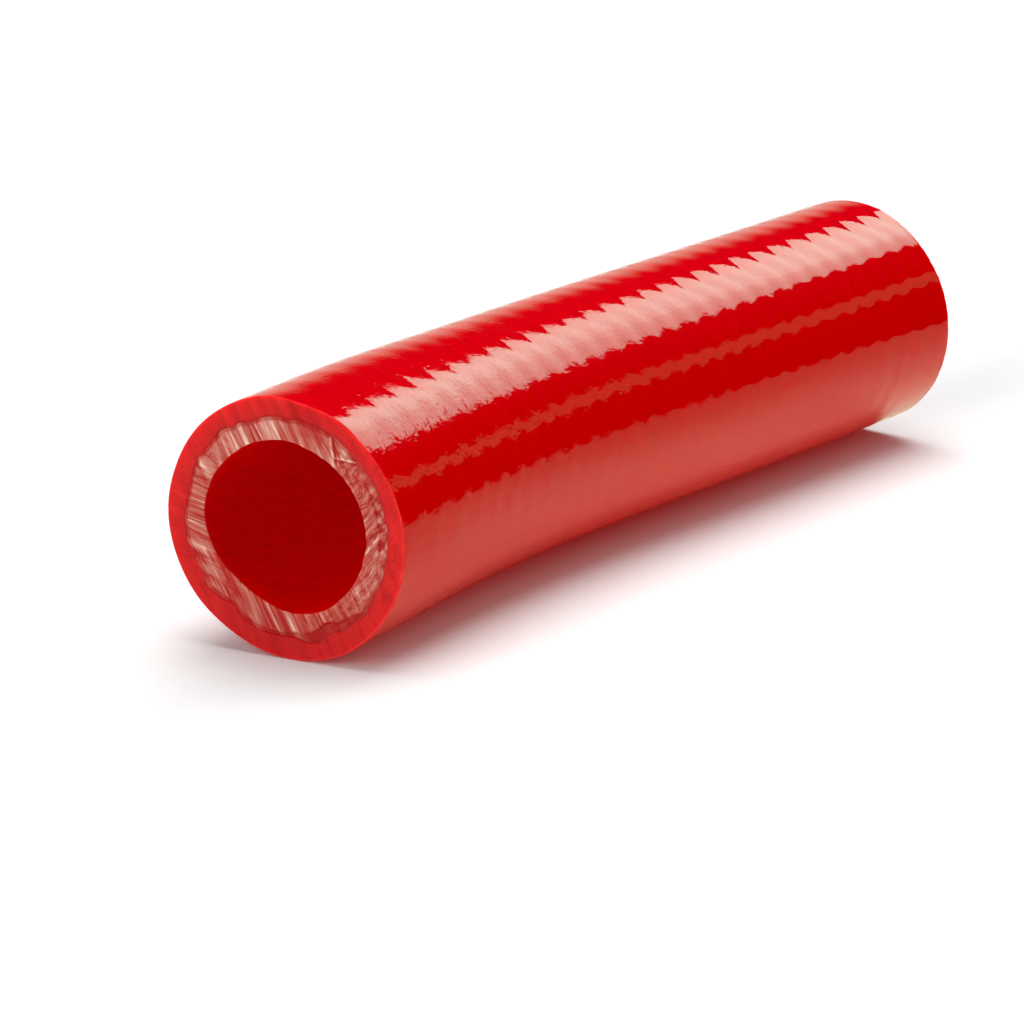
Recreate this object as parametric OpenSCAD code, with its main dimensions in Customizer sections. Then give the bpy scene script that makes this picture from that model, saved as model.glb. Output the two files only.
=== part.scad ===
// Cut length of braid-reinforced PVC air hose, lying on its side.
// A clear liner carries the air. A two-way braid of flat polyester yarns lies
// round it, each yarn over two and under two of those that cross it, and a
// coloured cover is extruded over the braid. The hose keeps a slight bend from
// the coil it was cut from, and both ends are cut square.
//
// Millimetres, +Z up, the hose resting on Z = 0. The origin is under the middle
// of the whole, and the near end's bore runs along X.

/* [Hose] */
// Diameter of the liner's bore
bore_d = 10; // [8:0.5:13]
// Wall of the liner
liner_wall = 1; // [0.6:0.05:1.6]
// Wall of the cover
cover_wall = 0.9; // [0.6:0.05:1.8]
// Length along the centreline, from one cut face to the other
hose_len = 62; // [50:1:90]

/* [Bend] */
// Straight stretch at the near end
near_straight = 8; // [5:1:20]
// Centreline length of the bent stretch
bend_len = 23; // [12:1:30]
// Angle that the bent stretch turns through, in degrees
bend_angle = 7; // [2:1:20]

/* [Braid] */
// Yarns that run each way round, in fours so that the over-two pattern closes
yarns_each_way = 12; // [8:4:16]
// Length of hose in which a yarn goes once round
yarn_lead = 24.3; // [21:0.1:30]
// Width of a yarn, measured across it
yarn_w = 0.62; // [0.4:0.02:0.7]
// Thickness of a yarn
yarn_t = 0.15; // [0.1:0.01:0.2]
// Least gap between a yarn and what lies over or under it
yarn_gap = 0.03; // [0.02:0.005:0.05]

/* [Hidden] */
$fn = 96;
TAU = 2 * PI;

bore_r = bore_d / 2;
liner_r = bore_r + liner_wall;

// The braid unrolled: every yarn meets one of the other way at each row. A
// place on a yarn is given in rows: u along that yarn, v along those that
// cross it. The yarn covers half_step to each side of v = 0.
row = yarn_lead / (2 * yarns_each_way);
yarn_angle = atan2(TAU * liner_r, yarn_lead);
half_step = yarn_w / (4 * row * sin(yarn_angle));

// The rows lie evenly between the cut faces, and end_step is what is left at
// each face: a quarter to three quarters of a row.
rows = floor(hose_len / row + 0.5);
end_step = (hose_len / row - (rows - 1)) / 2;

// A yarn is a flat ribbon with one ring of points at each row. Between rings
// its lower face sinks by the share that facet leaves. At the corner of a
// crossing, the yarns have only the share hold of the rise between them.
facet = cos(90 / yarns_each_way);
hold = 1 - 2 * half_step;
under_r = (liner_r + yarn_gap) / facet + yarn_t / 2;
rise = (yarn_t + 2 * yarn_gap) / hold;

// Room for the braid, rounded up to a hundredth, then the cover round it.
braid_h = ceil(100 * (under_r + rise + yarn_t / 2 + yarn_gap - liner_r)) / 100;
cover_bore_r = liner_r + braid_h;
cover_r = cover_bore_r + cover_wall;

// The centreline: straight, an arc that turns towards -Y, straight again.
bend_r = bend_len / bend_angle * 360 / TAU;
far_straight = hose_len - near_straight - bend_len;
far_heading = [cos(bend_angle), -sin(bend_angle)];
bend_end = [
    near_straight + bend_r * sin(bend_angle),
    -bend_r * (1 - cos(bend_angle))
];
far_end = bend_end + far_straight * far_heading;

// The wall is drawn a hair thinner in the bend, by this much on each face, and
// each straight stretch runs this far over it.
bend_draw = 0.02;
lap = 0.2;

// Middle of the hose's plan, which is put at the origin.
plan_mid = [
    (far_end[0] + cover_r * sin(bend_angle)) / 2,
    (far_end[1] + cover_r - cover_r * cos(bend_angle)) / 2
];

function yarn_name(way, k) = str("yarn_", way, "_", k < 10 ? "0" : "", k);

// Heading and place of the centreline at the length s from the near face.
function turned(s) = bend_angle * max(0, min(1, (s - near_straight) / bend_len));

function centre(s) =
    s < near_straight ? [s, 0]
    : s < near_straight + bend_len ? [
        near_straight + bend_r * sin(turned(s)),
        -bend_r * (1 - cos(turned(s)))
    ]
    : bend_end + (s - near_straight - bend_len) * far_heading;

// The point at the length s, the angle a round the hose and the radius r.
function on_hose(s, a, r) =
    let (c = centre(s), h = turned(s), side = r * cos(a))
    [c[0] + side * sin(h), c[1] + side * cos(h), r * sin(a)];

// 1 where yarn k is over the yarn that it meets at a row, and 0 where it is
// under. Right-hand yarns have turn 1 and left-hand ones -1: each of these is
// over just where the right-hand yarn that it meets is under.
function over(turn, k, at) =
    let (step = (2 * k + at - (turn < 0 ? 1 : 0)) % 4)
    (step + 4) % 4 < 2 ? 1 : 0;

// The share of the rise that yarn k has at u, straight from row to row.
function lift(turn, k, u) =
    let (at = floor(u), part = u - at)
    (1 - part) * over(turn, k, at) + part * over(turn, k, at + 1);

// The four corners of a yarn's section. At a row it lies along the yarn that
// crosses there, so that both change level clear of the crossing. The first
// and last sections lie in the cut faces.
function ring(turn, k, at) =
    [
        for (corner = [[1, -1], [1, 1], [-1, 1], [-1, -1]])
        let (
            v = corner[0] * half_step,
            u = at < 0 ? -end_step - v : at == rows ? rows - 1 + end_step - v : at,
            s = (end_step + u + v) * row,
            a = (360 * k + 180 * (u - v)) / yarns_each_way,
            r = under_r + rise * lift(turn, k, u) + corner[1] * yarn_t / 2
        )
        on_hose(s, turn * a, r)
    ];

// The triangles between section i and the next, on the short diagonals, so
// that the wide faces follow the liner.
function side_faces(i) =
    [
        for (j = [0 : 3])
        let (a = 4 * i + j, b = 4 * i + (j + 1) % 4, c = a + 4, d = b + 4)
        each j < 2 ? [[a, b, c], [b, d, c]] : [[a, b, d], [a, d, c]]
    ];

function reversed(f) = [for (i = [len(f) - 1 : -1 : 0]) f[i]];

module tube_section(inner_r, outer_r) {
    difference() {
        circle(outer_r);
        circle(inner_r);
    }
}

// A tube round the centreline. Its straight stretches lap over the ends of the
// bend, so that the three join cleanly at any angle.
module tube(inner_r, outer_r) {
    rotate([90, 0, 90])
        linear_extrude(near_straight + lap) tube_section(inner_r, outer_r);
    translate([near_straight, -bend_r, 0]) {
        rotate(90 - bend_angle)
            rotate_extrude(angle = bend_angle)
                translate([bend_r, 0])
                    tube_section(inner_r + bend_draw, outer_r - bend_draw);
        rotate(-bend_angle)
            translate([-lap, bend_r, 0])
                rotate([90, 0, 90])
                    linear_extrude(far_straight + lap) tube_section(inner_r, outer_r);
    }
}

module at_rest() {
    translate([-plan_mid[0], -plan_mid[1], cover_r]) children();
}

module liner() {
    color("#d98a80")
        at_rest() tube(bore_r, liner_r);
}

module cover() {
    color("#d40a0c")
        at_rest() tube(cover_bore_r, cover_r);
}

// One yarn of the braid, number k of those that turn the same way.
module yarn(turn, k) {
    points = [for (at = [-1 : rows]) each ring(turn, k, at)];
    last = len(points) - 4;
    faces = concat(
        [[3, 2, 1, 0], [last, last + 1, last + 2, last + 3]],
        [for (i = [0 : rows]) each side_faces(i)]
    );
    color("#f1e4dc")
        at_rest() polyhedron(points, turn > 0 ? faces : [for (f = faces) reversed(f)]);
}

liner();
cover();
for (k = [1 : yarns_each_way]) {
    yarn(1, k);
    yarn(-1, k);
}
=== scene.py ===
# %% [markdown]
# # A cut length of red air hose
#
# The real thing is a sample cut from a coil of PVC air hose: a clear, pinkish
# liner with a 10 mm bore, a braid of polyester yarns round it, and a glossy
# red cover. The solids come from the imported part. This lesson dresses them:
# every surface is worked out with numpy as a function of two parameters, the
# length along the hose and the angle round it, because that is how a hose is
# extruded, and a function is easier to correct than a sculpted mesh.

import math

import bpy
import numpy as np
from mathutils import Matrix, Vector


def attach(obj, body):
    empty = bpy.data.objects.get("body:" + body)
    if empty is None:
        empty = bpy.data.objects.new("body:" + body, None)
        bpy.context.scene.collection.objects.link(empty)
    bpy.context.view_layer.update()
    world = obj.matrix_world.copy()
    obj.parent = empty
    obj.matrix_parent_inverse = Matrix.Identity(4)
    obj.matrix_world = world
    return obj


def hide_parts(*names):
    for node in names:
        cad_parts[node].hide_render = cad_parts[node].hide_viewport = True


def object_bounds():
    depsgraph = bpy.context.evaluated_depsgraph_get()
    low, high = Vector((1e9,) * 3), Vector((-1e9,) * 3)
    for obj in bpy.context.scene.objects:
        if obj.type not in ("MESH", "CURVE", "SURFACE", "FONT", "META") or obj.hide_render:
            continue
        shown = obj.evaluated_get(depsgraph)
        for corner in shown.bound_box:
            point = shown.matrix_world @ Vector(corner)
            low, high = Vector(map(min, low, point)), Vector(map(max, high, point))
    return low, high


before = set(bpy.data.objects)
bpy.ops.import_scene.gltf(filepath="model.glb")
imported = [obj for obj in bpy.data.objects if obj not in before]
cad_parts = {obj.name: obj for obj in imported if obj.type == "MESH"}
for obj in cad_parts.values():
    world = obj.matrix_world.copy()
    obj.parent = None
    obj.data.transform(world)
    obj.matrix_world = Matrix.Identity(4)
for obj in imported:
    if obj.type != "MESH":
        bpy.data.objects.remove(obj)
cad_low, cad_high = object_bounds()
print("nodes:", len(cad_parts))

# %% [markdown]
# The sizes are those of the solids, in millimetres. The hose lies along +X,
# turns gently towards -Y, and rests on the floor. All shapes are worked out
# in millimetres and turned into metres at the very end.

# %% Sizes of the hose
BORE_R = 5.0
LINER_R = 6.0
COVER_R = 7.5
SEAM_R = 6.33  # where liner and cover meet, among the yarns
LENGTH = 62.0
NEAR_STRAIGHT = 8.0
BEND_LEN = 23.0
BEND = math.radians(7)
BEND_R = BEND_LEN / BEND
FAR_STRAIGHT = LENGTH - NEAR_STRAIGHT - BEND_LEN
MM = 0.001
far_x = NEAR_STRAIGHT + BEND_R * math.sin(BEND) + FAR_STRAIGHT * math.cos(BEND)
far_y = -BEND_R * (1 - math.cos(BEND)) - FAR_STRAIGHT * math.sin(BEND)
MID_X = (far_x + COVER_R * math.sin(BEND)) / 2
MID_Y = (far_y + COVER_R * (1 - math.cos(BEND))) / 2
print("near face at x = %.2f mm, solids start at %.2f mm" % (-MID_X, cad_low.x / MM))

# %% [markdown]
# A place on the hose is given by its length s from the near face, its angle
# round the hose and its radius. Angle 0 faces the camera's side (-Y) and 90 is
# the top. Everything on the hose goes through this one function, so that
# cover, liner and yarns bend together.


# %% From hose coordinates to the frame
def stand_off(angle, radius):
    """How far a place stands off the centre line: the radius times the cosine of the angle to
    the camera's side, and times the sine upwards."""
    return radius * np.cos(np.radians(angle)), radius * np.sin(np.radians(angle))


def hose_point(s, angle, radius):
    """The centre line runs straight, round an arc, and straight again. The point stands off it
    to the side and upwards."""
    turned = np.clip((s - NEAR_STRAIGHT) / BEND_LEN, 0, 1) * BEND
    before = np.minimum(s, NEAR_STRAIGHT)
    after = np.maximum(s - NEAR_STRAIGHT - BEND_LEN, 0)
    x = before + BEND_R * np.sin(turned) + after * math.cos(BEND)
    y = -BEND_R * (1 - np.cos(turned)) - after * math.sin(BEND)
    side, up = stand_off(angle, radius)
    point = (
        x - side * np.sin(turned) - MID_X,
        y - side * np.cos(turned) - MID_Y,
        up + COVER_R,
    )
    return np.stack(np.broadcast_arrays(*point), -1) * MM


print("middle of the near face:", hose_point(0.0, 0.0, 0.0).round(5))


# %% [markdown]
# A few helpers make things uneven in the way real things are. Humps are single
# dents and swellings at a known angle. Waves are a sum of sines with seeded
# random pitches, which is smooth, has no grid in it and is the same each run.
# Grain is the same for the fine parallel marks that a blade leaves.

# %% Humps and waves
TURN = 6.28  # a full turn, near enough for a phase
WAVES = 20
MARKS = 22
MARK_DRIFT = 0.12  # how much a blade's marks change along their length, per mm


def apart(angle, centre):
    """Degrees from a centre, the short way round."""
    return (angle - centre + 180) % 360 - 180


def bell(away, width):
    """1 at no distance and falling off: e to the minus square of distance over width."""
    return np.exp(-((away / width) ** 2))


def humps(angle, rows):
    """The sum of a bell round the circle for each row of centre, width and height."""
    total = np.zeros(np.shape(angle))
    for centre, width, height in rows:
        total = total + height * bell(apart(angle, centre), width)
    return total


def waves(x, y, seed):
    """A sum of sines of x and y, each with its own random pitch up to 1 and its own phase,
    scaled to a spread of 1."""
    rng = np.random.default_rng(seed)
    total = 0
    for a, b, phase in rng.uniform((-1, -1, 0), (1, 1, 2 * math.pi), (WAVES, 3)):
        total = total + np.sin(2 * math.pi * (a * x + b * y) + phase)
    return total * math.sqrt(2 / WAVES)


def round_waves(s, angle, seed, fine, turns, count=8):
    """The same for a place on the hose, which must meet itself after a full turn: each sine has
    a random pitch up to fine per mm and a whole number of waves, up to turns, in the angle."""
    rng = np.random.default_rng(seed)
    total = 0
    for pitch, turn, phase in rng.uniform((-fine, -turns, 0), (fine, turns, TURN), (count, 3)):
        total = total + np.sin(2 * math.pi * pitch * s + round(turn) * np.radians(angle) + phase)
    return total * math.sqrt(2 / count)


def grain(a, b, lean, seed, coarse, fine):
    """Marks of a blade that leans by that many degrees: sines of the distance across its path,
    with random pitches from coarse to fine per mm and a slow drift along it, scaled to a spread
    of 1."""
    rng = np.random.default_rng(seed)
    c, d = math.cos(math.radians(lean)), math.sin(math.radians(lean))
    across, along = b * c - a * d, a * c + b * d
    total = 0
    low, high = (coarse, -MARK_DRIFT, 0), (fine, MARK_DRIFT, TURN)
    for pitch, slip, phase in rng.uniform(low, high, (MARKS, 3)):
        total = total + np.sin(2 * math.pi * (pitch * across + slip * along) + phase)
    return total * math.sqrt(2 / MARKS)


print("a wave at the origin:", round(float(waves(0.0, 0.0, 1)), 3))

# %% [markdown]
# The cut. Shears press a hose out of round and leave its mouth a little wide.
# Both the outside and the bore widen towards the near face over about two
# diameters. Each has its own shape, a sum of waves round the hose: one lobe
# shifts it, two make it oval, and more make it uneven. The joint between cover
# and liner is torn, so its edge has dents of its own. The blade went through a
# little askew, so both cuts lean.

# %% The out-of-round mouth
MOUTH_DECAY = 14.0  # the length over which the widening dies away
# Each mouth has its mean widening in mm, then its lobes (how many, how high,
# where one points) and, if it is torn, its dents (centre, width, height).
OUTSIDE = (
    0.326,
    ((1, 0.177, -134), (2, 0.110, -44), (3, 0.023, -53), (4, 0.038, 17), (9, 0.015, 20)),
)
INSIDE = (0.20, ((1, 0.105, 134), (2, 0.18, -25), (3, 0.075, 54), (4, 0.07, 8)))
SEAM = (
    0.26,
    ((2, 0.08, -20), (3, 0.04, 50)),
    (
        (-76, 7, 0.32), (-90, 7, -0.16), (-125, 5, -0.36), (-141, 5, 0.34), (-168, 8, 0.24),
        (-120, 40, 0.18), (90, 24, 0.08), (130, 10, 0.14), (-42, 3, 0.20),
    ),
)
# How far each cut leans, as shares of the distance to the camera's side and up.
NEAR_LEAN, FAR_LEAN = (0.042, -0.003), (-0.013, -0.031)
LEAN_FADE = 4  # the leaning dies away from a cut by e in this length


def widen(s, angle, mouth):
    """The mean widening, the lobes (a height times the cosine of so many times the angle from
    where they point) and the dents, times a bell of the length from the near face."""
    base, lobes, *dents = mouth
    total = base + sum(height * np.cos(np.radians(n * (angle - way))) for n, height, way in lobes)
    for rows in dents:
        total = total + humps(angle, rows)
    return total * bell(np.maximum(s, 0), MOUTH_DECAY)


def tilt(angle, radius, lean):
    """How far along the hose a leaning cut lies at a place on it."""
    side, up = stand_off(angle, radius)
    return lean[0] * side + lean[1] * up


def with_cuts(s, angle, radius):
    """How far a place moves along the hose, so that what lies between the cuts leans with
    the nearer one."""
    near = tilt(angle, radius, NEAR_LEAN) * np.exp(-s / LEAN_FADE)
    return near + tilt(angle, radius, FAR_LEAN) * np.exp((s - LENGTH) / LEAN_FADE)


for what, mouth in (("outside", OUTSIDE), ("bore", INSIDE), ("seam", SEAM)):
    widths = widen(0, np.arange(360), mouth)
    print("%s widened by %.2f to %.2f mm" % (what, widths.min(), widths.max()))

# %% [markdown]
# The cover was extruded over the braid while soft, and shows it in two ways.
# All round, the rings of crossings leave a ripple of a few thousandths of a
# millimetre, which only reflections betray. Low on the side the ripple turns
# over and is some three times as high, which scallops the edges of the
# reflections there. Along one strip, where the hose lay against its coil, the
# cover has settled into the braid and rises in pillows with sharp valleys.
# These break the edge of the long highlight into saw teeth, so they must be in
# the mesh.

# %% The cover's ripple and pillows
PITCH = 2.06  # from one ring of crossings to the next, as the cover shows them
FIRST_RING = 3.33  # where the count of rings starts
DRAWN_OUT, DRAWN_LEN = 2.4, 14  # the rings lie further apart near the cut end
RIPPLE = 0.0075
TURNED_OVER = ((17, 10, -3.7),)
HIGHER = ((42, 12, 1.0),)
PILLOW = 0.042
STRIP_AT, STRIP_WIDTH = 70, 9.5
# Flats of the coil: height, centre and width of each slope.
COIL_FLATS = ((0.07, 71, 14), (0.03, 46, 9))
MOUTH_FLATS = ((0.10, 66, 12), (0.035, 11, 9))
SWELLING = ((100, 28, 1),)


def slopes(angle, rows):
    """A slope in the angle for each row, and nothing far from it: the height times the
    distance from the centre over the width, times e to the minus its square."""
    total = 0
    for height, centre, width in rows:
        away = apart(angle, centre) / width
        total = total + height * (away * np.exp(-(away**2)))
    return total


def ring_count(s, angle):
    """How many rings lie before a place: the length over the pitch, drawn out near the cut
    end, with a slow wander."""
    stretched = DRAWN_OUT * np.clip(1 - s / DRAWN_LEN, 0, 1) ** 2
    wander = 0.05 * round_waves(s, angle, 11, 1 / 24, 2)
    wander = wander + 0.03 * round_waves(s, angle, 12, 1 / 9, 8)
    return (s - FIRST_RING + stretched) / PITCH + wander


def ripple(s, angle):
    """A sine of the ring count, which changes its sign low on the side, and pillows in their
    strip: one minus the square of the place across a pillow, from -1 to 1."""
    count = ring_count(s, angle)
    side = humps(angle, HIGHER) + humps(angle, TURNED_OVER) * (1 + 0.5 * np.exp(-s / 25))
    even = -np.sin(2 * math.pi * (count - 0.08)) * (1 + side)
    across = 2 * (count % 1) - 1
    strip = np.exp(-((apart(angle, STRIP_AT) / STRIP_WIDTH) ** 4))
    strip = strip * (1.1 + 0.2 * round_waves(s, angle, 14, 1 / 9, 4))
    return RIPPLE * even * (1 - 0.6 * strip) + PILLOW * strip * (0.67 - across**2)


def cover_radius(s, angle):
    """The outside: the round hose, its widened mouth, the flats that it got in the coil, a
    swelling on top behind the mouth, a slow unevenness and the ripple. The coil's flats change
    their sign half-way along."""
    flats = np.tanh((s - 35) / 9) * slopes(angle, COIL_FLATS)
    flats = flats - slopes(angle, MOUTH_FLATS) * bell(s, 12)
    swell = 0.12 * bell(s - 11, 8) * humps(angle, SWELLING)
    slow = 0.012 * round_waves(s, angle, 15, 1 / 30, 2) + flats + swell
    return COVER_R + widen(s, angle, OUTSIDE) + slow + ripple(s, angle)


print("cover radius at the middle: %.3f mm" % cover_radius(31.0, 40.0))

# %% [markdown]
# Every new piece is a mesh made from arrays. foreach_set copies them in one
# go, which is quick for a hundred thousand points. Besides its points and
# faces a mesh carries marks, which are numbers at its points that the
# materials read.


# %% From arrays to a mesh
def fill_mesh(name, points, faces, marks, uv=None):
    """A mesh object from arrays: faces is a list of blocks of corners, one block for each
    number of sides."""
    mesh = bpy.data.meshes.new(name)
    mesh.vertices.add(len(points))
    mesh.vertices.foreach_set("co", points.astype(np.float32).ravel())
    corners = np.concatenate([f.ravel() for f in faces]).astype(np.int32)
    sides = np.concatenate([np.full(len(f), f.shape[1]) for f in faces])
    starts = np.concatenate([[0], np.cumsum(sides)[:-1]]).astype(np.int32)
    mesh.loops.add(len(corners))
    mesh.loops.foreach_set("vertex_index", corners)
    mesh.polygons.add(len(sides))
    mesh.polygons.foreach_set("loop_start", starts)
    mesh.polygons.foreach_set("use_smooth", np.ones(len(sides), bool))
    if uv is not None:
        layer = mesh.uv_layers.new(name="hose")
        layer.data.foreach_set("uv", uv.astype(np.float32).ravel())
    for key, values in marks.items():
        layer = mesh.attributes.new(key, "FLOAT", "POINT")
        layer.data.foreach_set("value", values.astype(np.float32))
    mesh.update(calc_edges=True)
    mesh.validate()
    piece = bpy.data.objects.new(name, mesh)
    bpy.context.scene.collection.objects.link(piece)
    return piece


print("meshes of the solids:", len(bpy.data.meshes))

# %% [markdown]
# Each tube is a loop of rings: over the near cut, along the outside, over the
# far cut and back through the inside. The near cut needs three times the
# columns of the rest, so the grids are joined by a row of six-cornered faces.
# The UV map is in millimetres: along the hose and round it.

# %% A tube from grids of rings
COLUMNS = 216
FINE = 3 * COLUMNS
ROUND = 2 * math.pi * COVER_R


def columns(count):
    """Angles of the columns, from the underside round."""
    return -90 + 360 * np.arange(count) / count


def band(start_a, cols_a, start_b, cols_b, cols):
    """Corners of the faces between two rings: one of the first ring, those of the second, and
    back along the first. Each is a point's number and its share of the way round."""
    per_a, per_b = cols_a // cols, cols_b // cols
    j = np.arange(cols)[:, None]
    at_a = j * per_a + np.concatenate([[0], np.arange(per_a, 0, -1)])[None]
    at_b = j * per_b + np.arange(per_b + 1)[None]
    on_a, on_b = start_a + at_a % cols_a, start_b + at_b % cols_b
    points = np.concatenate([on_a[:, :1], on_b, on_a[:, 1:]], 1)
    shares = np.concatenate([at_a[:, :1] / cols_a, at_b / cols_b, at_a[:, 1:] / cols_a], 1)
    return points, shares


def closed_tube(name, grids):
    """Joins grids of rings, each a dict of arrays with a row for each ring and a column for
    each angle, into one closed skin."""
    rings, start = [], 0
    for g in grids:
        count, cols = g["s"].shape
        rings += [(start + k * cols, cols) for k in range(count)]
        start += count * cols
    along = np.concatenate([g["s"].ravel() for g in grids])
    blocks = []
    for (start_a, cols_a), (start_b, cols_b) in zip(rings, rings[1:] + rings[:1]):
        blocks.append(band(start_a, cols_a, start_b, cols_b, min(cols_a, cols_b)))
    points = [hose_point(g["s"], g["angle"], g["r"]).reshape(-1, 3) for g in grids]
    points = np.concatenate(points)
    sizes = sorted({b[0].shape[1] for b in blocks})
    faces = [np.concatenate([b[0] for b in blocks if b[0].shape[1] == n]) for n in sizes]
    shares = [np.concatenate([b[1] for b in blocks if b[1].shape[1] == n]) for n in sizes]
    uv = [np.stack([along[f].ravel(), t.ravel() * ROUND], 1) for f, t in zip(faces, shares)]
    carried = [key for key in grids[0] if key not in ("s", "angle", "r")]
    marks = {key: np.concatenate([g[key].ravel() for g in grids]) for key in carried}
    piece = fill_mesh(name, points, faces, marks, np.concatenate(uv))
    print(name, len(points), "points,", sum(len(f) * (f.shape[1] - 2) for f in faces), "triangles")
    return piece


def grid(s, angle, r, **marks):
    """One grid: all its arrays stretched to the same rings and columns."""
    values = [np.asarray(v, float) for v in (s, angle, r, *marks.values())]
    return dict(zip(["s", "angle", "r", *marks], np.broadcast_arrays(*values)))


print("columns:", COLUMNS, "along the walls and", FINE, "on the near cut")

# %% [markdown]
# The near cut tells how it was made: the knife dragged, stopped once and
# stepped, and the liner tore away from the cover. The marks are fields over
# the face, in millimetres to the camera's side (a) and upwards (b). One field
# gives both the relief and the shade, so that colour and light agree.

# %% Marks of the knife
STEEP, LEVEL, WOUND = -61, -14, 52  # how the marks lean, in degrees
FLAT = ((178, 36, 1),)  # where they lie level
SWIRL = ((2, 44, 1),)  # where the blade wobbled and they are wound


def near_line(a, b, ends, width):
    """1 on the line between two points and falling off as a bell across it."""
    (a0, b0), (a1, b1) = ends
    long = math.hypot(a1 - a0, b1 - b0)
    t = np.clip(((a - a0) * (a1 - a0) + (b - b0) * (b1 - b0)) / long**2, 0, 1)
    away = np.hypot(a - a0 - t * (a1 - a0), b - b0 - t * (b1 - b0))
    return bell(away, width)


def beyond(field, edge, width):
    """0 before an edge and 1 after it, with an S curve of that width between."""
    return 1 / (1 + np.exp(-4 * (field - edge) / width))


print("half-way over an edge: %.2f" % beyond(0.0, 0.0, 1.0))

# %% [markdown]
# The liner is bounded by the bore and by the torn seam. The bore is smooth,
# but the braid shows through it faintly, because the liner was soft when the
# yarns were laid on it.

# %% The bore and the torn seam
PER_WAY = 12  # yarns that run each way round
LEAD = 24.3  # the length in which a yarn goes once round
BRAID_PRINT = 0.006
SEAM_GAP = 0.01  # keeps the two skins apart, so that neither shows through
TEAR_DEPTH = 1.2


def seam_radius(s, angle):
    """Where liner and cover part: the ring among the yarns, widened at the mouth and torn at
    the face in small notches."""
    torn = 0.045 * round_waves(0, angle, 31, 0, 33, 12)
    torn = torn + 0.03 * np.abs(round_waves(0, angle, 32, 0, 72, 12))
    return SEAM_R + widen(s, angle, SEAM) + torn * np.exp(-np.maximum(s, 0) / TEAR_DEPTH)


def liner_radius(s, angle):
    """The liner's outside, a hair within the seam."""
    return seam_radius(s, angle) - SEAM_GAP


def bore_radius(s, angle):
    """The bore, smooth but for a faint print of the braid: two helices that cross."""
    turn = 2 * math.pi * s / LEAD
    right = np.cos(PER_WAY * (np.radians(angle) + turn))
    left = np.cos(PER_WAY * (np.radians(angle) - turn))
    return BORE_R + widen(s, angle, INSIDE) + BRAID_PRINT * (right + left)


print("bore at the middle: %.3f mm in radius" % bore_radius(31.0, 0.0))

# %% [markdown]
# The liner's cut face is a pale ring full of small damage. Each kind has its
# own field, 0 to 1, placed by its angle round the face and its share of the
# way across. They are added up twice, once with heights and once with shades.
# The shades hold painted light too: a painted highlight on a raised edge, and
# painted shade in a crack and in the clefts.


# %% The liner's cut face
def liner_face(angle, across):
    """Relief in mm (up is towards the viewer), shade from 0, dark, to 1, pale, and wet from 0
    to 1 where the cut is smooth and clear, at a share of the way across from the bore to the
    seam."""
    inner, outer = bore_radius(0, angle), seam_radius(0, angle)
    radius = inner + (outer - inner) * across
    a, b = stand_off(angle, radius)
    flat, swirl = humps(angle, FLAT), humps(angle, SWIRL)
    marks = (1 - flat) * (1 - swirl) * grain(a, b, STEEP, 24, 0.3, 1.6)
    marks = marks + flat * grain(a, b, LEVEL, 25, 0.3, 1.6)
    wound = 0.8 * grain(a, b, WOUND, 26, 0.5, 2.4) + 0.4 * waves(a / 0.6, b / 0.6, 27)
    marks = marks + swirl * wound
    # Near the top the cut is smooth. Beside that the blade stopped and left a
    # step, with a raised edge and a crack next to it. The edge is painted paler,
    # a painted highlight, and the crack darker, a painted shade.
    smooth = humps(angle, ((77, 11, 1),)) * np.clip(1.6 * across + 0.2, 0, 1)
    step = beyond(63 + 4 * (across - 0.5) - angle, 0, 2.5) * humps(angle, ((50, 16, 1),))
    edge = near_line(a, b, ((2.95, 5.75), (3.15, 4.25)), 0.06)
    edge = edge + 0.7 * near_line(a, b, ((3.15, 4.6), (4.6, 4.5)), 0.05)
    crack = near_line(a, b, ((3.10, 5.75), (3.27, 4.25)), 0.07)
    crack = crack + 0.7 * near_line(a, b, ((3.2, 4.45), (4.6, 4.36)), 0.06)
    # On the camera's side the outer part tore in scallops, and low down it
    # sank as a flap. Elsewhere there is only a dark rim along the seam. Both
    # torn parts end inwards in a cleft, which is painted darker as a painted shade.
    ring = humps(angle, ((10, 36, 1),)) * beyond(across, 0.66, 0.1)
    scallop = (1.3 * np.abs(np.sin(np.radians(angle) * 21 + 5 * across)) - 0.8) * ring
    border = 0.52 + 0.014 * np.abs(apart(angle, -66))
    lens = np.clip(1.7 * humps(angle, ((-66, 20, 1),)), 0, 1) * beyond(across, border, 0.08)
    rim = beyond(across, 0.84, 0.08) * (1 - ring) * (1 - lens)
    cleft = 1.4 * bell(across - border, 0.05) * humps(angle, ((-66, 22, 1),))
    cleft = cleft + bell(across - 0.66, 0.05) * humps(angle, ((10, 36, 1),))
    relief = 0.020 * marks * (1 - 0.7 * smooth) * (1 - 0.5 * ring)
    relief = relief - 0.10 * step - 0.07 * ring + 0.04 * scallop - 0.05 * cleft
    relief = relief - 0.12 * lens - 0.045 * rim + 0.06 * edge - 0.06 * crack
    shade = 0.50 + 0.13 * marks - 0.30 * smooth + 0.22 * humps(angle, ((56, 7, 1),))
    # Painted highlight on the raised edge and painted shade in the crack.
    shade = shade + 0.60 * edge - 0.55 * crack
    shade = shade + humps(angle, ((118, 24, 0.12), (-90, 60, -0.10), (-142, 16, -0.06)))
    # The clefts are painted darker: painted shade.
    shade = shade + 0.30 * scallop - 0.10 * ring - 0.36 * lens - 0.34 * rim - 0.3 * cleft
    return relief, np.clip(shade, 0, 1), np.clip(0.8 * smooth + rim + lens + 0.5 * ring, 0, 1)


sample = liner_face(np.arange(360.0), 0.5)[0]
print("relief half-way across the liner: %.2f to %.2f mm" % (sample.min(), sample.max()))
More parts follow.
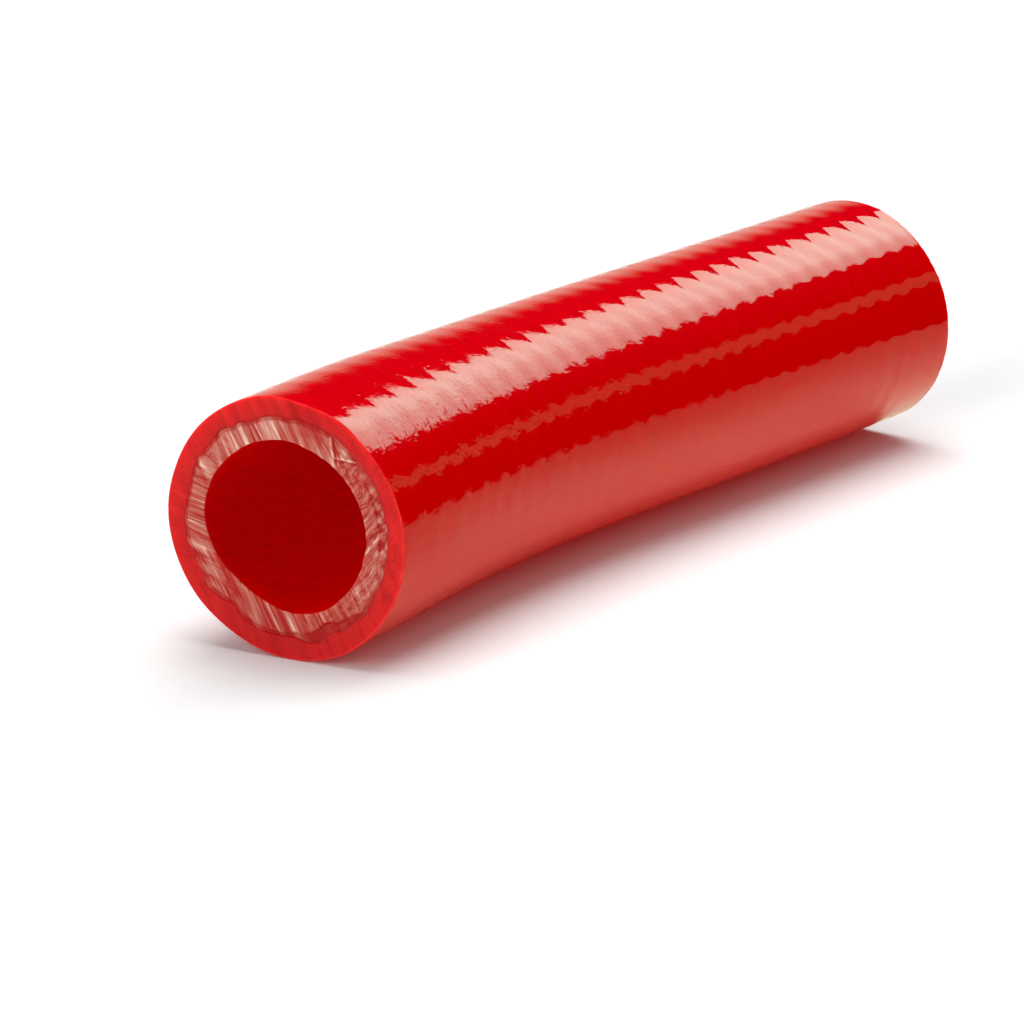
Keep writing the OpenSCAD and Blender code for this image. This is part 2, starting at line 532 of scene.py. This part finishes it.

# %% [markdown]
# The cover is softer in its marks and even in its colour, because it cut
# cleanly. It has a row of square nicks on the camera's side, painted darker as
# a painted shade, sinks a little towards the seam, and is painted brighter at
# the rim, a painted highlight.


# %% The cover's cut face
def cover_face(angle, across):
    """The same as for the liner, from the seam to the outside."""
    inner, outer = seam_radius(0, angle), cover_radius(np.zeros(1), angle)
    radius = inner + (outer - inner) * across
    a, b = stand_off(angle, radius)
    drag = grain(a, b, STEEP, 41, 0.2, 1.2) + 0.4 * waves(a / 2, b / 2, 42)
    nick = np.clip(np.sin(np.radians(angle) * 46 + 3 * across) * 3 - 2, 0, 1)
    nick = nick * humps(angle, ((-12, 14, 1),))
    nick = nick * beyond(across, 0.42, 0.1) * beyond(1 - across, 0.2, 0.1)
    inside = beyond(0.24 - across, 0, 0.16)
    rim = beyond(across, 0.955, 0.03)
    relief = 0.006 * drag - 0.03 * nick - 0.05 * inside
    # The nicks are painted darker, a painted shade, and the rim brighter, a painted highlight.
    shade = 0.46 + 0.06 * drag - 0.25 * nick + 0.6 * rim
    zones = ((-100, 40, -0.28), (78, 14, -0.22), (0, 40, 0.08), (150, 50, 0.06))
    shade = shade + humps(angle, zones)
    return relief, np.clip(shade, 0, 1), np.clip(0.8 * inside + 0.2, 0, 1) * np.ones_like(shade)


sample = cover_face(np.arange(360.0), 0.5)[0]
print("relief half-way across the cover: %.2f to %.2f mm" % (sample.min(), sample.max()))

# %% [markdown]
# A skin is put together from three kinds of grid: the near cut, a wall, and
# the far cut. Towards each edge of a cut the rings crowd together, which
# leaves the small round that a real edge has.

# %% Rings of cuts and walls
fine_angles = columns(FINE)[None]
plain_angles = columns(COLUMNS)[None]


def crowd(count, edge):
    """Shares from 0 to 1, evenly spaced but for a first and last step of the size edge."""
    middle = np.linspace(edge, 1 - edge, count - 2)
    return np.concatenate([[0], middle, [1]])[:, None]


def round_over(across, span, sizes):
    """How far a face falls back at its two edges: a quarter circle of the edge's size, by the
    distance from the nearer edge."""
    size = np.where(across < 0.5, *sizes)
    away = np.minimum(np.minimum(across, 1 - across) * span, size)
    return size - np.sqrt(np.maximum(size**2 - (size - away) ** 2, 0))


def near_face(make_face, inner, outer, across, edges):
    """The rings of a near cut, from the inside out. Relief stands towards the viewer, so it
    takes away from s."""
    relief, shade, wet = make_face(fine_angles, across)
    radius = inner + (outer - inner) * across
    depth = tilt(fine_angles, radius, NEAR_LEAN) - relief
    depth = depth + round_over(across, outer - inner, edges)
    flat, swirl = humps(fine_angles, FLAT), humps(fine_angles, SWIRL)
    return grid(depth, fine_angles, radius, cut=1.0, shade=shade, wet=wet, flat=flat, swirl=swirl)


def far_face(inner, outer, across, edges):
    """The rings of the far cut, from the outside in, with the blade's marks in small."""
    radius = inner + (outer - inner) * across
    marks = grain(*stand_off(plain_angles, radius), 35, 51, 0.4, 1.6)
    depth = tilt(plain_angles, radius, FAR_LEAN) + 0.015 * marks
    depth = LENGTH + (depth - round_over(across, outer - inner, edges))
    shade = np.clip(0.5 + 0.15 * marks, 0, 1)
    return grid(depth, plain_angles, radius, cut=1.0, shade=shade, wet=0.2, flat=0.0, swirl=0.0)


def wall(lengths, radius_of):
    """Rings along a wall, leaning with the cut that is nearer."""
    s = lengths[:, None]
    radius = radius_of(s, plain_angles)
    s = s + with_cuts(s, plain_angles, radius)
    return grid(s, plain_angles, radius, cut=0.0, shade=0.5, wet=0.0, flat=0.0, swirl=0.0)


print("shares of a small cut:", crowd(5, 0.03).ravel())

# %% [markdown]
# The cover needs a ring every sixth of a millimetre along its outside, where
# the ripple has to show in the reflections. The hidden walls need few.

# %% Build cover and liner
RIM = (0.03, 0.10)  # rounds of the cover's edges, inner and outer
LIP = (0.05, 0.03)  # the same for the liner
first, last = [0.10, 0.16, 0.25], [LENGTH - 0.22, LENGTH - 0.12]
outside = np.concatenate([first, np.linspace(0.4, LENGTH - 0.4, 352), last])
first, last = [LENGTH - 0.12, LENGTH - 0.3], [0.3, 0.12]
inside = np.concatenate([first, np.linspace(LENGTH - 1, 1, 60), last])
out_face = cover_radius(np.zeros((1, 1)), fine_angles)
seam_face = seam_radius(0, fine_angles)
cover = closed_tube(
    "cover",
    [
        near_face(cover_face, seam_face, out_face, crowd(20, 0.03), RIM),
        wall(outside, cover_radius),
        far_face(
            seam_radius(LENGTH, plain_angles), cover_radius(np.full((1, 1), LENGTH), plain_angles),
            crowd(8, 0.04)[::-1], RIM,
        ),
        wall(inside[::4], seam_radius),
    ],
)
liner = closed_tube(
    "liner",
    [
        near_face(
            liner_face, bore_radius(0, fine_angles), liner_radius(0, fine_angles),
            crowd(26, 0.03), LIP,
        ),
        wall(inside[::-4], liner_radius),
        far_face(
            bore_radius(LENGTH, plain_angles), liner_radius(LENGTH, plain_angles),
            crowd(10, 0.04)[::-1], LIP,
        ),
        wall(inside, bore_radius),
    ],
)
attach(cover, "root")
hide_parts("cover")
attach(liner, "root")
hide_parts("liner")

# %% [markdown]
# The yarns follow the same braid as the solids: each goes over two and under
# two. They lie buried between liner and cover, and stop a little behind each
# cut face, where the smeared PVC hides them. A place on a yarn is counted in
# rows of crossings, u along it and v across it.

# %% The braid's sizes
YARN_W, YARN_T, YARN_GAP = 0.62, 0.15, 0.03
ROW = LEAD / (2 * PER_WAY)
HALF = YARN_W / (4 * ROW * math.sin(math.atan2(2 * math.pi * LINER_R, LEAD)))
ROWS = math.floor(LENGTH / ROW + 0.5)
END_STEP = (LENGTH / ROW - (ROWS - 1)) / 2
UNDER_R = (LINER_R + YARN_GAP) / math.cos(math.radians(90 / PER_WAY)) + YARN_T / 2
RISE = (YARN_T + 2 * YARN_GAP) / (1 - 2 * HALF)
print("rows of crossings:", ROWS)

# %% [markdown]
# A yarn is a rounded ribbon with a twist of filaments, so each is a grid too:
# along the yarn, and round its section. Between two crossings it changes level
# along an S curve.

# %% Build the yarns
SIDES, STEPS = 10, 5  # points round a section, and sections to a row
SHORT_NEAR, SHORT_FAR = 0.30, 0.05  # how far a yarn stops behind each cut
PLIES = 3  # turns of the twist to a row


def over(turn, k, at):
    """1 where yarn k is over the yarn it meets at a row and 0 where it is under: two rows of
    each by turns."""
    return (((2 * k + at - (turn < 0)) % 4) < 2).astype(float)


def yarn(name, turn, k):
    """A ribbon with a rounded section: half its width times the cosine to the side, and half
    its thickness, uneven by a tenth, times the sine outwards."""
    u = np.linspace(-END_STEP, ROWS - 1 + END_STEP, STEPS * ROWS)[:, None]
    section = 2 * math.pi * np.arange(SIDES)[None] / SIDES
    v = HALF * np.cos(section)
    low = np.floor(u)
    part = u - low
    part = part * part * (3 - 2 * part)
    level = (1 - part) * over(turn, k, low) + part * over(turn, k, low + 1)
    thick = YARN_T / 2 * np.sin(section) * (1 + 0.1 * np.cos(3 * section + 9 * u))
    s = np.clip((END_STEP + u + v) * ROW, SHORT_NEAR, LENGTH - SHORT_FAR)
    angle = 180 - turn * (360 * k + 180 * (u - v)) / PER_WAY
    radius = UNDER_R + RISE * level + thick + widen(s, angle, SEAM)
    s = s + with_cuts(s, angle, radius)
    points = hose_point(s, angle, radius).reshape(-1, 3)
    sections, corners = np.arange(len(u) - 1), np.arange(SIDES)
    here, j = np.meshgrid(sections * SIDES, corners, indexing="ij")
    there, j_next = here + SIDES, (j + 1) % SIDES
    quads = np.stack([here + j, there + j, there + j_next, here + j_next], -1).reshape(-1, 4)
    ends = np.stack([corners, len(sections) * SIDES + corners[::-1]])
    faces = [quads, ends]
    if turn < 0:
        faces = [f[:, ::-1] for f in faces]
    twist = (np.broadcast_to(u, s.shape) * PLIES).ravel()
    return fill_mesh(name, points, faces, {"twist": twist})


yarns = []
for turn, way in ((1, "right"), (-1, "left")):
    for k in range(1, PER_WAY + 1):
        node = "yarn_%s_%02d" % (way, k)
        piece = yarn(node + "_twisted", turn, k)
        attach(piece, "root")
        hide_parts(node)
        yarns.append(piece)
print("yarns:", len(yarns))

# %% [markdown]
# Materials are written as Python sums. A Wire is one output of a shader node,
# and adding or multiplying wires adds the Math nodes. A Paint makes any node
# from its type, its settings and the values or wires of its sockets, and has a
# short name for what every material here needs.


# %% Shader sums
class Wire:
    """One output socket. The usual signs make Math nodes, and minus works from both sides."""

    def __init__(self, paint, socket):
        self.paint, self.socket = paint, socket

    def math(self, operation, *others):
        sockets = dict(enumerate((self, *others)))
        return self.paint.node("ShaderNodeMath", {"operation": operation}, sockets)

    def __add__(self, other):
        return self.math("ADD", other)

    def __mul__(self, other):
        return self.math("MULTIPLY", other)

    def __sub__(self, other):
        return self.math("SUBTRACT", other)

    def __rsub__(self, other):
        return self.paint.node("ShaderNodeMath", {"operation": "SUBTRACT"}, {0: other, 1: self})

    def clamped(self):
        return self.paint.node("ShaderNodeClamp", {}, {"Value": self})


class Paint:
    """Builds one node tree."""

    def __init__(self, tree):
        self.tree = tree
        tree.nodes.clear()

    def node(self, kind, settings, sockets, output=0):
        """Adds a node: settings first, because they can change its sockets, then its values
        and wires."""
        made = self.tree.nodes.new(kind)
        for key, value in settings.items():
            if key == "stops":
                ramp = made.color_ramp.elements
                while len(ramp) < len(value):
                    ramp.new(0.5)
                for stop, (place, colour) in zip(ramp, value):
                    stop.position, stop.color = place, colour
            else:
                setattr(made, key, value)
        for key, value in sockets.items():
            if isinstance(value, Wire):
                self.tree.links.new(value.socket, made.inputs[key])
            else:
                made.inputs[key].default_value = value
        return Wire(self, made.outputs[output]) if made.outputs else None

    def blend(self, share, first, second):
        """A mix of two colours by a wire."""
        sockets = {"Factor": share, 6: first, 7: second}
        return self.node("ShaderNodeMix", {"data_type": "RGBA"}, sockets, 2)

    def place(self):
        """Where a point lies, in metres."""
        return self.node("ShaderNodeTexCoord", {}, {}, "Object")

    def uv(self):
        """Where a point lies on the hose, in mm along it and round it."""
        return self.node("ShaderNodeUVMap", {"uv_map": "hose"}, {})

    def axis(self, vector, name):
        """One part of a vector: X, Y or Z."""
        return self.node("ShaderNodeSeparateXYZ", {}, {"Vector": vector}, name)

    def seen_by(self, ray):
        """1 for that kind of ray and 0 for the others."""
        return self.node("ShaderNodeLightPath", {}, {}, "Is " + ray + " Ray")

    def ramp(self, stops, share):
        """Colours that change with a wire, from stops of place and colour."""
        return self.node("ShaderNodeValToRGB", {"stops": stops}, {"Fac": share})

    def bump(self, height):
        """A normal from relief in mm."""
        sockets = {"Strength": 1.0, "Distance": MM, "Height": height}
        return self.node("ShaderNodeBump", {}, sockets, "Normal")

    def noise(self, place, scale, detail=2.0, rough=0.5, stretch=(1, 1, 1), lean=0.0):
        """Noise at a place, turned about X to a lean in degrees and stretched along its axes."""
        turned = {"Vector": place, "Rotation": (math.radians(lean), 0, 0), "Scale": stretch}
        place = self.node("ShaderNodeMapping", {"vector_type": "TEXTURE"}, turned)
        sockets = {"Vector": place, "Scale": scale, "Detail": detail, "Roughness": rough}
        return self.node("ShaderNodeTexNoise", {}, sockets)

    def mark(self, name):
        """A number that the mesh carries."""
        return self.node("ShaderNodeAttribute", {"attribute_name": name}, {}, "Fac")

    def slide(self, share, first, second):
        """A plain number between two others."""
        return self.node("ShaderNodeMix", {}, {"Factor": share, 2: first, 3: second})

    def scratches(self, field, sharp):
        """Thin lines, 1 where a field passes its middle and 0 away from there."""
        return (1 - (field - 0.5).math("ABSOLUTE") * sharp).clamped()

    def strokes(self, place, fine, detail=3.0):
        """Marks of the blade at so many to the mm: noise drawn out along the cut, which is
        steep, flat or swirling as the mesh says. The swirls are bent by a coarser noise."""
        drawn = (3, 18, 1)
        steep = self.noise(place, 1000 * fine, detail, 0.6, drawn, 180 - STEEP)
        flat = self.noise(place, 1000 * fine, detail, 0.6, drawn, 180 - LEVEL)
        sockets = {"Vector": place, "Scale": 900.0, "Detail": 1.0}
        coarse = self.node("ShaderNodeTexNoise", {}, sockets, "Color")
        sockets = {"Factor": 0.0009, 4: place, 5: coarse}
        wound = self.node("ShaderNodeMix", {"data_type": "VECTOR"}, sockets, 1)
        swirl = self.noise(wound, 1300 * fine, detail, 0.6, (3, 9, 1), 180 - 50)
        return self.slide(self.mark("flat"), self.slide(self.mark("swirl"), steep, swirl), flat)


def srgb(red, green, blue):
    """A colour as seen on a screen, 0 to 255, as the light that the shader needs."""
    share = np.array([red, green, blue]) / 255
    light = np.where(share <= 0.04045, share / 12.92, ((share + 0.055) / 1.055) ** 2.4)
    return (*light.tolist(), 1.0)


def new_paint(name):
    """A material and its Paint."""
    made = bpy.data.materials.new(name)
    made.use_nodes = True
    return made, Paint(made.node_tree)


def finish_paint(paint, sockets):
    """Ends a material in a Principled shader."""
    shader = paint.node("ShaderNodeBsdfPrincipled", {}, sockets)
    paint.node("ShaderNodeOutputMaterial", {}, {"Surface": shader})


BLACK, WHITE = (0, 0, 0, 1), (1, 1, 1, 1)
print("a strong red as light: %.3f %.3f %.3f" % srgb(203, 0, 0)[:3])

# %% [markdown]
# The cover: soft PVC, coloured right through, with a hard gloss. The colour
# is nearly even. What makes it real is in its relief: hair-fine lines that
# run round the hose, as an uneven pull leaves them in a soft cover, shallow
# clouds, and a few specks. The cut end was handled, so it is the roughest.
# On the cut, the same red is dull and varies along the blade's marks, with a
# painted highlight along the rim and painted shade in the nicks.

# %% Paint the cover
cover_paint, p = new_paint("red_pvc")
uv = p.uv()
place = p.place()
along = p.axis(uv, "X")
cut, shade = p.mark("cut"), p.mark("shade")
hair = p.noise(uv, 1.0, 3.0, 0.62, (0.30, 3.0, 1))
clouds = p.noise(uv, 0.35, 2.0)
specks = p.noise(uv, 3.0, 1.5)
rough_end = (1.15 - along * 0.016).clamped()
strokes = p.strokes(place, 3.2)
scratch = p.scratches(p.strokes(place, 1.2, 0.0), 30.0)
skin = p.blend(clouds, srgb(203, 0, 0), srgb(207, 1, 1))
tone = (shade + (strokes - 0.5) * 0.8 - scratch * 0.25).clamped()
# The blade's marks, with the painted rim highlight and painted nick shade that come in through the
# shade mark.
cut_marks_and_painted_light = p.blend(tone, srgb(184, 3, 10), srgb(231, 37, 38))
relief = (hair * 0.009 + specks * 0.018) * rough_end + clouds * 0.012
height = p.slide(cut, relief, strokes * 0.05 - scratch * 0.02)
normal = p.bump(height)
finish_paint(
    p,
    {
        "Base Color": p.blend(cut, skin, cut_marks_and_painted_light),
        "Roughness": cut * 0.30 + 0.045,
        "IOR": 1.5,
        "Subsurface Weight": 1.0,
        "Subsurface Radius": (1.0, 0.2, 0.2),
        "Subsurface Scale": 0.001,
        "Normal": normal,
    },
)
cover.data.materials.append(cover_paint)
print("nodes of the cover's paint:", len(p.tree.nodes))

# %% [markdown]
# The liner: clear PVC that takes its pink from the cover behind it. Looked at
# along the wall it is the deep red of the cover, and only the cut face, which
# the blade has roughened, is pale. The cut mark in the mesh parts the two.

# %% Paint the liner
liner_paint, p = new_paint("clear_pink_pvc")
uv = p.uv()
place = p.place()
cut, shade, wet = p.mark("cut"), p.mark("shade"), p.mark("wet")
strokes = p.strokes(place, 6.0, 2.0)
broad = p.strokes(place, 1.6, 1.0)
scratch = p.scratches(p.strokes(place, 3.0, 0.0), 14.0) * (1.0 - wet * 0.8)
tone = shade + (strokes - 0.5) * (1.9 - wet * 1.6) + (broad - 0.5) * 0.8
tone = (tone - scratch * 0.30).clamped()
pale = p.ramp(
    (
        (0.0, srgb(180, 20, 20)),
        (0.25, srgb(188, 66, 56)),
        (0.5, srgb(200, 112, 98)),
        (0.75, srgb(212, 146, 130)),
        (1.0, srgb(240, 206, 190)),
    ),
    tone,
)
weave = p.noise(uv, 1.0, 2.0, 0.5, (1.6, 0.45, 1))
bore = p.blend(weave, srgb(140, 0, 0), srgb(178, 2, 2))
# Light comes through the wall into the bore, which the emission stands for.
through = p.blend(weave, srgb(100, 0, 0), srgb(130, 0, 0))
height = p.slide(cut, weave * 0.02, strokes * (0.10 - wet * 0.06) - scratch * 0.03)
normal = p.bump(height)
finish_paint(
    p,
    {
        "Base Color": p.blend(cut, bore, pale),
        "Roughness": 0.36 - wet * 0.12,
        "IOR": 1.5,
        "Subsurface Weight": 1.0,
        "Subsurface Radius": (1.0, 0.3, 0.25),
        "Subsurface Scale": 0.0006,
        "Emission Color": p.blend(cut, through, BLACK),
        "Emission Strength": 1.0,
        "Normal": normal,
    },
)
liner.data.materials.append(liner_paint)
print("nodes of the liner's paint:", len(p.tree.nodes))

# %% [markdown]
# The yarns: bright polyester, stained pink by the PVC that wets it. Fine
# bands along the yarn stand for its twist.

# %% Paint the yarns
yarn_paint, p = new_paint("polyester_yarn")
twist = p.mark("twist")
place = p.place()
fibres = p.noise(place, 4000.0, 1.0)
ply = (twist * TURN).math("SINE") * 0.25 + 0.5
finish_paint(
    p,
    {
        "Base Color": p.blend(ply * 0.5 + fibres * 0.5, srgb(214, 140, 128), srgb(244, 214, 204)),
        "Roughness": 0.55,
        "Sheen Weight": 0.2,
    },
)
for piece in yarns:
    piece.data.materials.append(yarn_paint)
print("nodes of the yarns' paint:", len(p.tree.nodes))

# %% [markdown]
# The studio is built of flat panels. Each is seen only by the kinds of ray
# that it is there for, so a panel that makes a reflection casts no shadow and
# never stands in the view.


# %% Panels and glowing cloth
def panel(name, corners, paint, **seen):
    """A flat stage piece from its corners in mm, seen only by the rays that are named."""
    mesh = bpy.data.meshes.new(name)
    mesh.from_pydata((np.array(corners, float) * MM).tolist(), [], [list(range(len(corners)))])
    piece = bpy.data.objects.new(name, mesh)
    bpy.context.scene.collection.objects.link(piece)
    mesh.materials.append(paint)
    for ray in ("camera", "diffuse", "glossy", "transmission", "shadow"):
        setattr(piece, "visible_" + ray, seen.get(ray, False))
    return piece


def finish_glow(paint, tint, strength):
    """Ends a material in an emission of a colour or a wire."""
    light = paint.node("ShaderNodeEmission", {}, {"Color": tint, "Strength": strength})
    paint.node("ShaderNodeOutputMaterial", {}, {"Surface": light})


def glow(name, strength, tint=WHITE):
    """A plain emitting material."""
    made, paint = new_paint(name)
    finish_glow(paint, tint, strength)
    return made


black = glow("black_card_cloth", 0.0)
print("a card's cloth:", black.name)

# %% [markdown]
# A pale floor carries the hose and its shadow. Its paint tells three kinds of
# ray apart. The camera sees an even pale grey, lifted a little by light of its
# own except close to the hose. Diffuse light meets a plain grey. Reflections
# see a painted floor: painted bright close to the hose and painted dimmer, a
# painted shade, further off, which gives the low side of the cover its soft
# gradient, and a painted warm glow at its foot that only reflections see.

# %% The floor
FLOOR_Z = -0.47  # the widened mouth reaches below the solids, so the floor lies lower
FLOOR_HALF = 900
FOOT_Y = 2.56  # where the centre line stands at the near end
FOOT_CURVE, FOOT_SLOPE = 0.002655, 0.1228  # its bend as a parabola, and then its slope
floor_paint, p = new_paint("pale_floor")
place = p.place()
x = p.axis(place, "X") * 1000
y = p.axis(place, "Y") * 1000
bent = (x + BEND_LEN).math("MAXIMUM", 0).math("MINIMUM", BEND_LEN)
from_line = y - FOOT_Y + bent * bent * FOOT_CURVE + x.math("MAXIMUM", 0) * FOOT_SLOPE
near_by = (0.67 - (y * -1).math("MAXIMUM", 8) * 0.083).math("EXPONENT") * 0.75 + 0.33
along = (x * 0.014 + 0.81).math("MAXIMUM", 0.6).math("MINIMUM", 0.95)
# Painted reflection of the floor, bright near the hose and painted darker as a
# painted shade further off: in front of the hose, then behind it, then beyond
# its near end.
painted_floor_reflection = p.blend((near_by * 0.8 * along).clamped(), BLACK, (0.86, 0.96, 0.70, 1))
painted_floor_reflection = p.blend((y * 0.2 + 0.5).clamped(), painted_floor_reflection, (0.65, 0.58, 0.52, 1))
painted_floor_reflection = p.blend((x * 0.2 + 6.9).clamped(), (0.22, 0.22, 0.19, 1), painted_floor_reflection)
foot = ((from_line + 6.0) * 0.45).math("POWER", 2.0)
foot = (foot * -1).math("EXPONENT") * 0.13
haze = (from_line * from_line * -0.0256).math("EXPONENT")
in_gloss, in_view = p.seen_by("Glossy"), p.seen_by("Camera")
unseen = p.blend(in_gloss, (0.58, 0.58, 0.58, 1), painted_floor_reflection)
colour = p.blend(in_view, unseen, (0.685, 0.69, 0.692, 1))
# A painted warm glow along the hose's foot, seen only in reflections.
painted_foot_glow = p.blend(in_gloss * foot, BLACK, (1, 0.9, 0.72, 1))
lifted = p.blend(haze, (0.19, 0.185, 0.175, 1), BLACK)
finish_paint(
    p,
    {
        "Base Color": colour,
        "Roughness": 1.0,
        "Specular IOR Level": 0.0,
        "Emission Color": p.blend(in_view, painted_foot_glow, lifted),
        "Emission Strength": 1.0,
    },
)
corners = [(a * FLOOR_HALF, b * FLOOR_HALF, FLOOR_Z) for a, b in ((-1, -1), (1, -1), (1, 1), (-1, 1))]
floor = panel(
    "floor", corners, floor_paint, camera=True, diffuse=True, glossy=True, transmission=True
)
print("nodes of the floor's paint:", len(p.tree.nodes))

# %% [markdown]
# One long softbox hangs over and behind the hose: its mirror image is the wide
# pale band on the cover. Its cloth is brightest in the middle, as such boxes
# are, and greenish, because the cover's own red adds to its reflection and the
# two together make a pale pink. A thin strip makes the narrow streak, and two
# black cards keep the bands apart.

# %% Softbox, strip and cards
CLOTH_START, CLOTH_LONG = 275, 500  # the cloth runs from y = -275 mm for 500 mm
CLOTH_LIGHT = 4.4
CLOTH_STOPS = (
    (-275, 0.68), (-175, 0.70), (-110, 0.84), (-75, 1.05), (-20, 1.08),
    (30, 1.0), (80, 0.82), (130, 0.74), (225, 0.7),
)
softbox_paint, p = new_paint("softbox_cloth")
y = p.axis(p.place(), "Y")
stops = [
    ((at + CLOTH_START) / CLOTH_LONG, (share * 0.52, share, share * 0.85, 1))
    for at, share in CLOTH_STOPS
]
cloth = p.ramp(stops, y * (1000 / CLOTH_LONG) + CLOTH_START / CLOTH_LONG)
finish_glow(p, cloth, CLOTH_LIGHT)
softbox = panel(
    "softbox",
    [(150, 172, 400), (1050, 70, 400), (1050, -275, 400), (150, -190, 400)],
    softbox_paint, glossy=True,
)
strip = panel(
    "strip_panel",
    [(400, -170, 67), (400, -170, 105), (400, -480, 326), (400, -480, 211)],
    glow("strip_cloth", 0.36, (0.9, 1, 0.58, 1)), glossy=True,
)
card = panel(
    "black_card_standing",
    [(401, -60, -0.4), (401, -60, 235), (401, -480, 235), (401, -900, 406), (401, -900, -0.4)],
    black, glossy=True,
)
low_card = panel(
    "black_card_lying",
    [(66, 0, -0.3), (66, -600, -0.3), (400, -600, -0.3), (400, 0, -0.3)],
    black, glossy=True,
)
print("stage pieces:", [o.name for o in (floor, softbox, strip, card, low_card)])

# %% [markdown]
# Lamps light what isn't a reflection. A wide one overhead makes the soft
# shadow, one in front lights the cut face, and one under the floor lifts the
# dark underside as a white table does. None shows in a reflection, because
# the panels take care of those.


# %% Lamps
def lamp(name, place, aim, size, level):
    """A square lamp that lights a surface at the aim to about that share of full light. Its
    power is the level times pi squared, times the squared distance plus a quarter of the
    squared size."""
    data = bpy.data.lights.new(name, "AREA")
    data.shape, data.size = "SQUARE", size * MM
    away = math.dist(place, aim) * MM
    data.energy = level * math.pi * math.pi * (away**2 + (size * MM) ** 2 / 4)
    made = bpy.data.objects.new(name, data)
    bpy.context.scene.collection.objects.link(made)
    made.location = [c * MM for c in place]
    turn = Vector(aim) - Vector(place)
    made.rotation_euler = turn.to_track_quat("-Z", "Y").to_euler()
    made.visible_glossy = False
    made.visible_camera = False
    return made


OVER, FRONT, UNDER = 1.25, 0.705, 0.53
over_lamp = lamp("overhead", (150, 50, 800), (0, 0, 0), 800, OVER)
front_lamp = lamp("front_fill", (-700, 220, 230), (0, 0, 0), 800, FRONT)
under_lamp = lamp("under_floor", (0, -420, -420), (0, 0, 0), 300, UNDER)
print("lamps, watts:", [round(o.data.energy, 2) for o in (over_lamp, front_lamp, under_lamp)])

# %% [markdown]
# The world is the room. The camera sees it white. Reflections see a pale, warm
# backdrop that fades upwards into the dark of the room, and the rest of the
# light gets an even, weak share.

# %% The room
ROOM = 0.12
world = bpy.data.worlds.new("studio")
bpy.context.scene.world = world
world.use_nodes = True
p = Paint(world.node_tree)
way = p.node("ShaderNodeTexCoord", {}, {}, "Generated")
fade = p.ramp(
    (
        (0.0, (0.74, 0.66, 0.55, 1)),
        (0.15, (0.63, 0.54, 0.44, 1)),
        (0.23, (0.42, 0.37, 0.29, 1)),
        (0.30, (0.14, 0.12, 0.09, 1)),
        (0.35, (0.0, 0.0, 0.035, 1)),
    ),
    p.axis(way, "Z"),
)
in_view = p.seen_by("Camera")
mirror = p.seen_by("Glossy").math("MAXIMUM", p.seen_by("Transmission"))
room = p.blend(mirror, (ROOM, ROOM, ROOM, 1), fade)
room = p.blend(in_view, room, WHITE)
back = p.node("ShaderNodeBackground", {}, {"Color": room, "Strength": 1.0})
p.node("ShaderNodeOutputWorld", {}, {"Surface": back})
print("nodes of the room:", len(p.tree.nodes))

# %% [markdown]
# The camera looks along the hose from its near end, a little from above,
# through a long lens.

# %% Camera
FOCAL = 198.04
LOOKS_DOWN, LOOKS_ROUND = 16.35785, 59.57812  # degrees from level, and from +Y towards +X
camera_data = bpy.data.cameras.new("camera")
camera_data.lens = FOCAL
camera = bpy.data.objects.new("camera", camera_data)
bpy.context.scene.collection.objects.link(camera)
camera.location = (-0.293161, -0.166275, 0.099829)
camera.rotation_euler = (math.radians(90 - LOOKS_DOWN), 0, math.radians(-LOOKS_ROUND))
bpy.context.scene.camera = camera
bpy.context.scene.view_settings.view_transform = "Standard"
print("camera stands %.0f mm from the middle" % (camera.location.length / MM))
